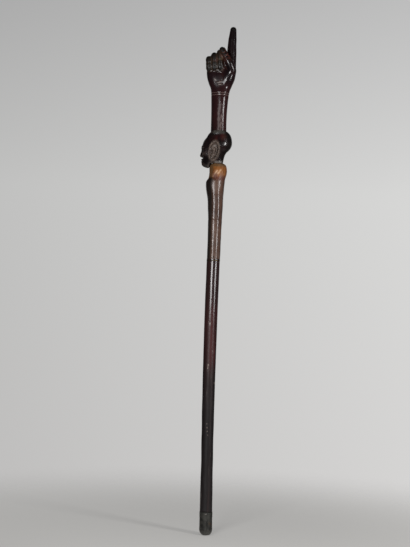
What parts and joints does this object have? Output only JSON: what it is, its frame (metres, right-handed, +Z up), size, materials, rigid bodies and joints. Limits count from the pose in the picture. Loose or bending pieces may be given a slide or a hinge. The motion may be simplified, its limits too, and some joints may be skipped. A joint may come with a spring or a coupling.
{
  "type": "carved wooden walking cane",
  "caption": "Hardwood walking cane carved as a fist with a raised index finger over a small head, with a screw joint in the shaft and an iron ferrule.",
  "frame": {"origin": "the middle of the ferrule's worn flat, where the tip meets the ground", "axes": "+Z up along the cane, the carving seen from -Y, the raised finger on the +X side and the carved face towards -X"},
  "size_m": [0.0641, 0.0516, 0.9607],
  "materials": {
    "dark_heartwood": "polished, dark purple-brown, worn to reddish brown on the thumb",
    "black_heartwood": "polished, near black with dark red",
    "honey_wood": "polished, honey-coloured sapwood that darkens downwards",
    "stained_wood": "stained and waxed, worn matt towards the tip",
    "dowel_wood": "raw",
    "aged_brass": "aged",
    "grey_steel": "dull",
    "patinated_iron": "dark patina, scuffed"
  },
  "bodies": {
    "upper": {"hand_and_forearm": "dark_heartwood", "forearm_dowel": "dowel_wood", "head_knob": "black_heartwood", "neck_rod": "grey_steel", "neck_pin": "grey_steel", "upper_shaft": "honey_wood", "socket_insert": "aged_brass", "insert_nail": "grey_steel"},
    "joint_ring": {"joint_ring": "aged_brass"},
    "lower": {"lower_shaft": "stained_wood", "joint_stud": "grey_steel", "ferrule": "patinated_iron", "ferrule_tack_front": "grey_steel", "ferrule_tack_back": "grey_steel"}
  },
  "joints": [
    {"name": "unscrew_travel", "type": "slide", "parent": "upper", "child": "joint_ring", "axis": [0, 0, -1], "range_m": [0, 0.02501]},
    {"name": "unscrew_turn", "type": "hinge", "parent": "joint_ring", "child": "lower", "pos_m": [-0.00257, 0, 0.517], "axis": [0, 0, -1], "range_deg": [0, 3600]}
  ],
  "couplings": [
    {"joint": "unscrew_travel", "follows": "unscrew_turn", "m_per_rad": 0.00039789}
  ]
}
